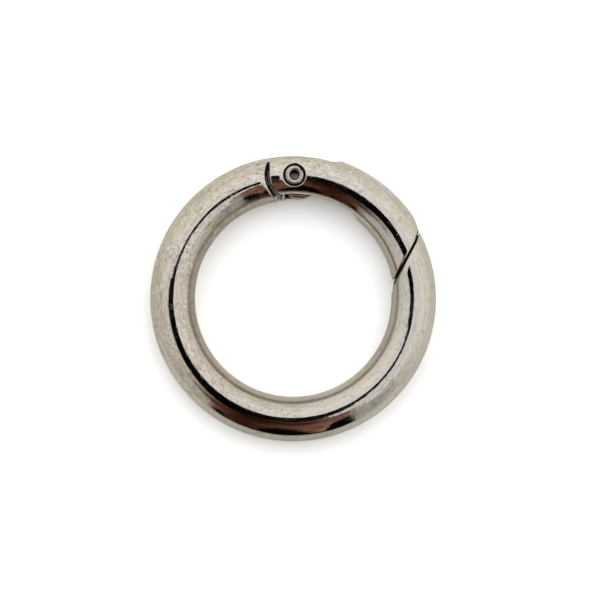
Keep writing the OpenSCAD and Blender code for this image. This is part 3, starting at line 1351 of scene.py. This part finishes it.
@dataclass
class HingeRivet:
    """The semi-tubular rivet: a low domed head below, and a hollow end rolled over above."""

    hollow_r: float = 0.6
    hollow_depth: float = 0.85
    roll_w: float = 0.29
    sides: int = 96
    dome_steps: int = 12
    roll_steps: int = 28
    roll_power: float = 0.8
    roll_arc: tuple[float, float] = (-75.0, 168.0)
    dent_turn: float = 42.0
    dent_width: float = 13.0
    dent_depth: float = 0.1
    # How fast the painted shade, partly grime, darkens with depth.
    shade_and_grime_rate: float = 3.0

    def profile(self) -> list[tuple[float, float]]:
        """The rivet's half section, from the bottom pole up to the hollow's floor.

        Returns:
            Radius and height of each point.
        """
        roll = LAYOUT.head_h / 2
        low = -LAYOUT.ledge_z - LAYOUT.head_h
        dome = (LAYOUT.head_r**2 + roll**2) / (2 * roll)
        wide, steps = math.asin(LAYOUT.head_r / dome), self.dome_steps
        made = [(dome * math.sin(a), low + dome * (1 - math.cos(a))) for a in wide * np.linspace(0, 1, steps)]
        made += [(LAYOUT.head_r, low + roll + 0.02), (LAYOUT.head_r, -LAYOUT.ledge_z - 0.03)]
        made += [(LAYOUT.head_r - 0.03, -LAYOUT.ledge_z), (LAYOUT.shank_r, -LAYOUT.ledge_z)]
        made += [(LAYOUT.shank_r, LAYOUT.ledge_z)]
        top = LAYOUT.ledge_z + LAYOUT.head_h
        middle = (LAYOUT.head_r - self.roll_w, top - roll)
        for t in np.linspace(*self.roll_arc, self.roll_steps):
            a = math.radians(t)
            across, up = (math.copysign(abs(v) ** self.roll_power, v) for v in (math.cos(a), math.sin(a)))
            made.append((middle[0] + self.roll_w * across, middle[1] + roll * up))
        lip, wall = made[-1][1], self.hollow_r
        floor = top - self.hollow_depth
        made += [(wall + 0.01, lip - 0.08), (wall, lip - 0.16), (wall, floor + 0.14)]
        made += [(wall - 0.04, floor + 0.05), (wall - 0.14, floor), (0.25, floor - 0.03), (0.0, floor - 0.05)]
        return made

    def lathe(self, material: bpy.types.Material) -> bpy.types.Mesh:
        """Turns the half section round the hinge's axis with geometry nodes.

        Args:
            material: the rivet's finish.

        Returns:
            The closed mesh, in millimetres.
        """
        line = bpy.data.meshes.new("rivet section")
        section = self.profile()
        line.from_pydata([(r, 0, z) for r, z in section], [(i, i + 1) for i in range(len(section) - 1)], [])
        growth = Growth(
            "turned rivet",
            {
                "Sides": self.sides,
                "Centre": (0.0, LAYOUT.gate_r, 0.0),
                "Rolled from": LAYOUT.ledge_z,
                "Dent angle": math.radians(self.dent_turn),
                "Dent width": math.radians(self.dent_width),
                "Dent depth": self.dent_depth,
            },
            material,
        )
        n, given = growth.nodes, growth.inputs
        curve = given["Geometry"]
        count = n.add("GeometryNodeAttributeDomainSize", {"Geometry": curve}).outputs["Point Count"]
        size = {"Size X": 1.0, "Size Y": 1.0, "Vertices X": count, "Vertices Y": n.plus(given["Sides"], 1)}
        grid = n.add("GeometryNodeMeshGrid", size).outputs[0]
        here = n.add("GeometryNodeInputPosition").outputs[0]
        across, up, _ = n.add("ShaderNodeSeparateXYZ", {0: here}).outputs
        index = n.math("ROUND", n.times(n.plus(across, 0.5), n.minus(count, 1)))
        angle = n.times(n.plus(up, 0.5), 2 * math.pi)
        sample = {"Geometry": curve, "Value": here, "Index": index}
        point = n.add("GeometryNodeSampleIndex", sample, data_type="FLOAT_VECTOR", domain="POINT").outputs[0]
        radius, _, height = n.add("ShaderNodeSeparateXYZ", {0: point}).outputs
        bell = n.bell(n.over(n.minus(angle, given["Dent angle"]), given["Dent width"]))
        rolled = n.step(height, given["Rolled from"], n.plus(given["Rolled from"], 0.15))
        dent = n.times(n.times(bell, given["Dent depth"]), n.times(rolled, n.step(radius, 0.8, 1.0)))
        moved = n.moved(n.turned(n.minus(radius, dent), angle, height), given["Centre"])
        shaped = n.add("GeometryNodeSetPosition", {"Geometry": grid, "Position": moved}).outputs[0]
        merged = {"Geometry": shaped, "Distance": 0.0005}
        growth.close(n.add("GeometryNodeMergeByDistance", merged).outputs[0])
        return growth.grow(line)

    def shade_and_grime(self, p: Array) -> Array:
        """Depths for the finish: painted shade, partly grime, under the rolled end and on the hollow's wall,
        less on its floor, and more on the floor's +Y side, which the wall shades.

        Args:
            p: the rivet's points.

        Returns:
            A depth for each point, 0 on the lower half.
        """
        out, top = LAYOUT.from_pivot(p), LAYOUT.ledge_z + LAYOUT.head_h
        under = np.where(out > LAYOUT.shank_r, LAYOUT.ledge_z + 0.24 - np.abs(p[:, 2]), 0)
        wall = np.where(out < self.hollow_r + 0.04, top - 0.12 - p[:, 2], 0)
        # Painted shade on the hollow's floor, darker towards +Y, where the wall shades it.
        shade_side = np.clip((p[:, 1] - LAYOUT.gate_r) / 0.4, 0, 1)
        most = np.where(out < self.hollow_r - 0.04, 0.25 + 0.15 * shade_side, 1)
        depth = np.maximum(under * self.shade_and_grime_rate, np.minimum(wall * self.shade_and_grime_rate, most))
        return np.maximum(np.where(p[:, 2] > 0, depth, 0), 0)

    def build(self) -> bpy.types.Object:
        """Builds the rivet.

        Returns:
            The finished piece.
        """
        mesh = smooth_mesh(self.lathe(RIVET_STEEL.material()), 40)
        marked(mesh, self.shade_and_grime(np.array([v.co for v in mesh.vertices]) / MM))
        return shown("hinge_rivet_turned", mesh, Body.GATE, "hinge_rivet")


@dataclass
class GateSpring:
    """The torsion spring: a leg in the ring's notch, two coils round the rivet, a leg in the gate."""

    wire_r: float = 0.25
    coil_r: float = 1.40
    sweep: float = 820.0
    top_z: float = 1.0094
    drop: float = 1.1844
    ring_leg: float = 3.2786
    gate_leg: float = 7.133
    points: int = 240
    leg_points: int = 24
    sides: int = 20

    def wind(self, material: bpy.types.Material) -> bpy.types.Mesh:
        """Winds the wire with geometry nodes: a helix whose two ends run out straight.

        Args:
            material: the wire's finish.

        Returns:
            The closed mesh, in millimetres.
        """
        leg = math.radians(LAYOUT.leg_dir)
        growth = Growth(
            "wound wire",
            {
                "Points": self.points,
                "Leg points": self.leg_points,
                "Section radius": self.wire_r,
                "Coil radius": self.coil_r,
                "First angle": math.pi,
                "Sweep": math.radians(self.sweep),
                "Drop": self.drop,
                "Centre": (0.0, LAYOUT.gate_r, self.top_z),
                "Ring leg": (0.0, -self.ring_leg, 0.0),
                "Gate leg": (self.gate_leg * math.cos(leg), self.gate_leg * math.sin(leg), 0.0),
                "Sides": self.sides,
            },
            material,
        )
        n, given = growth.nodes, growth.inputs
        line = n.add("GeometryNodeMeshLine", {"Count": given["Points"]}, mode="OFFSET").outputs[0]
        index = n.add("GeometryNodeInputIndex").outputs[0]
        first = given["Leg points"]
        turns = n.minus(n.minus(given["Points"], 1), n.times(first, 2))
        done = n.over(n.minus(index, first), turns, clamp=True)
        angle = n.minus(given["First angle"], n.times(given["Sweep"], done))
        fallen = n.times(n.times(given["Drop"], done), -1)
        place = n.moved(n.turned(given["Coil radius"], angle, fallen), given["Centre"])
        before = n.over(n.minus(first, index), first, clamp=True)
        after = n.over(n.minus(index, n.plus(first, turns)), first, clamp=True)
        for leg_way, share in ((given["Ring leg"], before), (given["Gate leg"], after)):
            place = n.moved(place, n.scaled(leg_way, share))
        shaped = n.add("GeometryNodeSetPosition", {"Geometry": line, "Position": place}).outputs[0]
        growth.close(growth.swept(n.add("GeometryNodeMeshToCurve", {0: shaped}).outputs[0], caps=True))
        return growth.grow()

    def build(self) -> bpy.types.Object:
        """Builds the spring, which rides on no body.

        Returns:
            The finished piece.
        """
        mesh = smooth_mesh(self.wind(SPRING_STEEL.material()), 45)
        marked(mesh, np.zeros(len(mesh.vertices)))
        piece = linked("gate_spring_wound", mesh)
        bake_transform(piece)
        return dressed(piece, "gate_spring")


# -------------------------------------------------------------------- the room


@dataclass(frozen=True)
class Studio:
    """A pale table under a broad pale room, with the dark shapes that polished metal picks up.

    Directions are an azimuth round the table from +X and a tilt from straight up, both in degrees. The tables
    go by azimuth, except ROOM_BY_TILT, by tilt as a share of 90 degrees, and BROWN_LATE, by tilt in degrees.
    """

    # The tilt at which the dark card round the camera ends.
    CARD_EDGE: ClassVar[dict[float, float]] = {
        0: 3.6, 20: 3.6, 40: 3.8, 60: 4.9, 80: 6.4, 100: 8.2, 120: 8.6, 138: 7.6, 146: 9.2, 152.5: 12.0,
        158: 14.4, 161: 17.0, 164: 20.0, 168: 21.2, 175: 22.6, 184: 23.6, 194: 24.0, 216: 27.0, 233.5: 31.5,
        242: 30.0, 246.5: 15.5, 262: 13.8, 280: 14.4, 287: 13.0, 292: 10.6, 304: 9.6, 316: 6.2, 334: 4.0,
        348: 4.0, 360: 3.6,
    }
    WIDEST_CARD: ClassVar[float] = 40.0
    CARD_BLACK: ClassVar[Colour] = (0.004, 0.004, 0.004)
    # The pale room: its colour by tilt, and its level high up and low down.
    ROOM_BY_TILT: ClassVar[dict[float, Colour]] = {
        0.05: (0.92, 0.95, 0.97), 0.15: (0.93, 0.95, 0.96), 0.28: (0.93, 0.94, 0.92),
        0.38: (1.02, 1.03, 1.0), 0.55: (0.98, 0.99, 0.93), 0.72: (0.90, 0.91, 0.84),
        1.0: (0.88, 0.90, 0.82),
    }
    HIGH_LEVEL: ClassVar[dict[float, float]] = {
        0: 0.93, 30: 0.99, 60: 1.0, 80: 1.03, 105: 1.04, 125: 1.0, 150: 0.98, 172: 0.88, 185: 0.79,
        200: 0.73, 212: 0.68, 235: 0.6, 296: 0.85, 330: 0.93, 360: 0.93,
    }
    LOW_LEVEL: ClassVar[dict[float, float]] = {
        0: 1.0, 145: 1.0, 160: 0.93, 172: 0.87, 182: 0.82, 190: 0.78, 200: 0.77, 210: 0.69, 222: 0.62,
        240: 0.56, 294: 0.56, 295: 0.45, 304: 0.52, 307: 0.5, 308: 0.36, 309.3: 0.5, 316: 0.6, 324: 0.74,
        338: 0.88, 352: 1.0,
    }
    # A narrow dim post near azimuth 299, at tilts from 20 to 41 degrees.
    POST: ClassVar[Colour] = (0.40, 0.36, 0.32)
    # The brown shape at the near side: its colour, and the tilt, in hundreds, where its foot turns black.
    BROWN: ClassVar[dict[float, Colour]] = {
        205: (0.24, 0.20, 0.17), 232: (0.12, 0.066, 0.048), 238: (0.075, 0.033, 0.021),
        246: (0.04, 0.0145, 0.0085), 250: (0.033, 0.011, 0.006), 260: (0.065, 0.028, 0.017),
        270: (0.11, 0.054, 0.037), 280: (0.19, 0.09, 0.059), 290: (0.25, 0.14, 0.11),
    }
    BROWN_FOOT: ClassVar[dict[float, float]] = {
        0: 1.0, 233.5: 1.0, 235.5: 0.68, 238: 0.73, 240: 0.8, 243: 0.96, 246: 0.98, 254: 0.92, 258: 0.64,
        265: 0.54, 272: 0.6, 278: 0.84, 284: 0.92, 287: 0.56, 291: 0.49, 298: 0.49, 300: 1.0,
    }
    FOOT_BLACK: ClassVar[Colour] = (0.003, 0.002, 0.002)
    SEAM_BLACK: ClassVar[Colour] = (0.003, 0.001, 0.001)
    # The degrees by which the brown shape's left edge moves, plus 5.
    BROWN_LATE: ClassVar[dict[float, float]] = {30: 6, 37: 8, 42: 0, 50: 2, 58: 10, 90: 10}
    # The table's level in reflections: a painted shadow by azimuth, darkest at the near side, below the brown
    # shape.
    TABLE_SHADOW_LEVEL: ClassVar[dict[float, float]] = {
        0: 0.97, 90: 1.0, 150: 0.95, 180: 0.87, 210: 0.82, 230: 0.68, 250: 0.58, 282: 0.58, 300: 0.66,
        320: 0.83, 345: 0.95,
    }
    WHITE: ClassVar[Colour] = (1.0, 1.0, 1.0)
    # The table as the camera sees it, as it lights the metal, and in reflections, with painted shade in the
    # ring's eye.
    TABLE_SEEN: ClassVar[Colour] = (1.98, 2.0, 2.08)
    TABLE_LIT: ClassVar[Colour] = (0.80, 0.79, 0.74)
    TABLE_MIRRORED: ClassVar[Colour] = (1.17, 1.18, 1.14)
    EYE_SHADED_MIRRORED: ClassVar[Colour] = (0.88, 0.87, 0.80)

    camera_h: float = 900.0
    card_h: float = 420.0
    card_half: float = 350.0
    table_half: float = 1500.0
    card_centre: tuple[float, float] = (0.9, -20.0)
    view_w: float = 76.4
    centre: tuple[float, float] = (0.875, -0.187)
    roll: float = 0.6
    level: float = 1.0

    def white(self, n: Nodes, turn: Socket, tilt: Socket) -> Socket:
        """The pale room: its colour by tilt, times its level by azimuth.

        Args:
            n: the world's nodes.
            turn: azimuth from 0 to 1.
            tilt: tilt in degrees.

        Returns:
            The colour's socket.
        """
        by_tilt = n.ramp(n.over(tilt, 90.0, clamp=True), self.ROOM_BY_TILT)
        high = n.mix(1.0, by_tilt, n.ramp(turn, self.HIGH_LEVEL, 360), "MULTIPLY")
        low = n.mix(1.0, by_tilt, n.ramp(turn, self.LOW_LEVEL, 360), "MULTIPLY")
        post = n.minus(n.step(turn, 0.822, 0.826), n.step(turn, 0.834, 0.846))
        high = n.mix(n.times(post, n.step(tilt, 20.0, 25.0)), high, self.POST)
        return n.mix(n.step(tilt, 36.5, 41.0), high, low)

    def brown(self, n: Nodes, turn: Socket, tilt: Socket, way: Socket) -> Socket:
        """The brown shape's colour: streaked, with a black foot and a black seam.

        Args:
            n: the world's nodes.
            turn: azimuth from 0 to 1.
            tilt: tilt in degrees.
            way: the direction.

        Returns:
            The colour's socket.
        """
        streak = n.add("ShaderNodeTexNoise", {"Vector": way, "Scale": 9.0, "Detail": 3.0}).outputs[0]
        streaks = n.line(n.step(streak, 0.35, 0.7), 0.9, 0.55)
        streaks = n.times(streaks, n.line(n.step(tilt, 16.0, 34.0), 0.35, 0.65))
        streaks = n.times(streaks, n.line(n.step(tilt, 38.0, 58.0), 0.44, 1.0))
        brown = n.mix(1.0, n.ramp(turn, self.BROWN, 360), n.grey(streaks), "MULTIPLY")
        foot = n.times(n.ramp(turn, self.BROWN_FOOT, 360), 100.0)
        brown = n.mix(n.step(tilt, n.minus(foot, 4.0), n.plus(foot, 3.0)), brown, self.FOOT_BLACK)
        seam = n.bell(n.over(n.minus(tilt, 25.6), 3.3))
        seam = n.times(seam, n.minus(n.step(turn, 0.66, 0.68), n.step(turn, 0.775, 0.80)))
        return n.mix(n.times(seam, 0.97), brown, self.SEAM_BLACK)

    def browned(self, n: Nodes, turn: Socket, tilt: Socket) -> Socket:
        """Where the brown shape stands: between a soft left edge and a sharp, slanted right edge.

        Args:
            n: the world's nodes.
            turn: azimuth from 0 to 1.
            tilt: tilt in degrees.

        Returns:
            The socket of a level from 0 to 1.
        """
        late = n.ramp(n.over(tilt, 90.0, clamp=True), {a: v / 90 for a, v in self.BROWN_LATE.items()}, 90)
        late = n.line(late, 90 / 360, -5 / 360)
        sharp = n.step(tilt, 46.0, 60.0)
        left_from, left_to = n.line(sharp, 18 / 360, 205 / 360), n.line(sharp, -9 / 360, 240 / 360)
        slant = n.times(n.step(tilt, 25.0, 18.0), 9.0 / 360)
        right = n.step(n.plus(turn, slant), 298.1 / 360, 296.7 / 360)
        return n.times(n.step(n.minus(turn, late), left_from, left_to), right)

    def light(self) -> None:
        """Makes the world: white to the camera, the room to everything that it lights."""
        world = bpy.data.worlds.new("studio")
        bpy.context.scene.world = world
        world.use_nodes = True
        world.node_tree.nodes.clear()
        n = Nodes(world.node_tree)
        way = n.add("ShaderNodeTexCoord").outputs["Generated"]
        x, y, z = n.add("ShaderNodeSeparateXYZ", {0: way}).outputs
        tilt, turn = n.math("DEGREES", n.math("ARCCOSINE", z)), n.azimuth(x, y)
        room = n.mix(self.browned(n, turn, tilt), self.white(n, turn, tilt), self.brown(n, turn, tilt, way))
        seen = n.add("ShaderNodeLightPath").outputs["Is Camera Ray"]
        final = n.mix(seen, room, self.WHITE)
        back = n.add("ShaderNodeBackground", {"Color": final, "Strength": self.level}).outputs[0]
        n.add("ShaderNodeOutputWorld", {"Surface": back})

    @staticmethod
    def sheet(name: str, half: float, level: float) -> Nodes:
        """Makes a level square that isn't part of the object, with an empty material.

        Args:
            name: its name.
            half: half its side.
            level: its height.

        Returns:
            The material's nodes.
        """
        material = bpy.data.materials.new(name)
        material.use_nodes = True
        material.node_tree.nodes.clear()
        mesh = bpy.data.meshes.new(name)
        corners = [Vector((x * half, y * half, level)) * MM for x, y in ((-1, -1), (1, -1), (1, 1), (-1, 1))]
        mesh.from_pydata(corners, [], [(0, 1, 2, 3)])
        mesh.materials.append(material)
        linked(name, mesh)
        return Nodes(material.node_tree)

    def card(self) -> None:
        """Makes the dark card that the top of the section mirrors, and that the camera sees through."""
        n = self.sheet("dark_card", self.card_half, self.card_h)
        place = n.add("ShaderNodeTexCoord").outputs["Object"]
        x, y, _ = n.add("ShaderNodeSeparateXYZ", {0: place}).outputs
        x, y = (n.minus(v, c * MM) for v, c in zip((x, y), self.card_centre))
        tilt = n.math("DEGREES", n.math("ARCTANGENT", n.over(n.length(x, y), self.card_h * MM)))
        edge = {a: v / self.WIDEST_CARD for a, v in self.CARD_EDGE.items()}
        edge = n.times(n.ramp(n.azimuth(x, y), edge, 360), self.WIDEST_CARD)
        edge = n.plus(edge, n.times(n.swing(n.noise(place, 72.0, 3.0)), 2.4))
        dark = n.step(tilt, n.plus(edge, 0.5), n.minus(edge, 0.5))
        seen = n.add("ShaderNodeLightPath").outputs["Is Camera Ray"]
        dark = n.times(dark, n.minus(1.0, seen))
        black = n.add("ShaderNodeBsdfDiffuse", {"Color": (*self.CARD_BLACK, 1)}).outputs[0]
        clear = n.add("ShaderNodeBsdfTransparent").outputs[0]
        both = n.add("ShaderNodeMixShader", {0: dark, 1: clear, 2: black}).outputs[0]
        n.add("ShaderNodeOutputMaterial", {"Surface": both})

    def table(self) -> None:
        """Makes the pale table that the ring lies on, with painted shade in its reflections: in the ring's eye,
        and by azimuth at the near side, lighter close to the ring and near black far out.
        """
        n = self.sheet("table", self.table_half, -LAYOUT.section_r)
        x, y, _ = n.add("ShaderNodeSeparateXYZ", {0: n.add("ShaderNodeTexCoord").outputs["Object"]}).outputs
        away, turn = n.length(x, y), n.azimuth(x, y)
        # Painted shade in the ring's eye, in reflections.
        mirrored = n.mix(n.step(away, 0.0115, 0.0165), self.EYE_SHADED_MIRRORED, self.TABLE_MIRRORED)
        # Painted shadow in reflections by azimuth, none in the ring's eye.
        shadow_level = n.most(n.ramp(turn, self.TABLE_SHADOW_LEVEL, 360), n.step(away, 0.0165, 0.0115))
        far = n.times(n.step(away, 0.07, 0.1), n.step(turn, 232 / 360, 242 / 360))
        far = n.times(far, n.step(turn, 298 / 360, 296 / 360))
        shadow_level = n.times(shadow_level, n.minus(1.0, n.times(far, 0.97)))
        near = n.times(n.step(away, 0.05, 0.03), n.step(turn, 190 / 360, 225 / 360))
        near = n.times(near, n.step(turn, 335 / 360, 305 / 360))
        shadow_level = n.times(shadow_level, n.line(near, 0.26, 1.0))
        path = n.add("ShaderNodeLightPath").outputs
        colour = n.mix(path["Is Glossy Ray"], self.TABLE_LIT, n.mix(1.0, mirrored, shadow_level, "MULTIPLY"))
        colour = n.mix(path["Is Camera Ray"], colour, self.TABLE_SEEN)
        matt = n.add("ShaderNodeBsdfDiffuse", {"Color": colour}).outputs[0]
        n.add("ShaderNodeOutputMaterial", {"Surface": matt})

    def camera(self) -> None:
        """Places the camera straight above the ring."""
        data = bpy.data.cameras.new("camera")
        data.sensor_width = 36.0
        data.lens = data.sensor_width * self.camera_h / self.view_w
        data.clip_start, data.clip_end = 0.01, 10.0
        made = linked("camera", data)
        made.location = Vector((*self.centre, self.camera_h)) * MM
        made.rotation_euler = (0, 0, math.radians(self.roll))
        bpy.context.scene.camera = made

    def build(self) -> None:
        """Sets up the light, the card, the table, the camera and the colour view."""
        bpy.context.scene.view_settings.view_transform = "Standard"
        self.light()
        self.card()
        self.table()
        self.camera()
        log.info("studio: light, card, table and camera")


def main() -> None:
    """Builds the ring piece by piece, then the studio, and notes the sizes."""
    logging.basicConfig(level=logging.INFO, format="%(name)s: %(message)s")
    RingBody().build()
    Gate().build()
    HingeRivet().build()
    GateSpring().build()
    Studio().build()


if __name__ == "__main__":
    main()
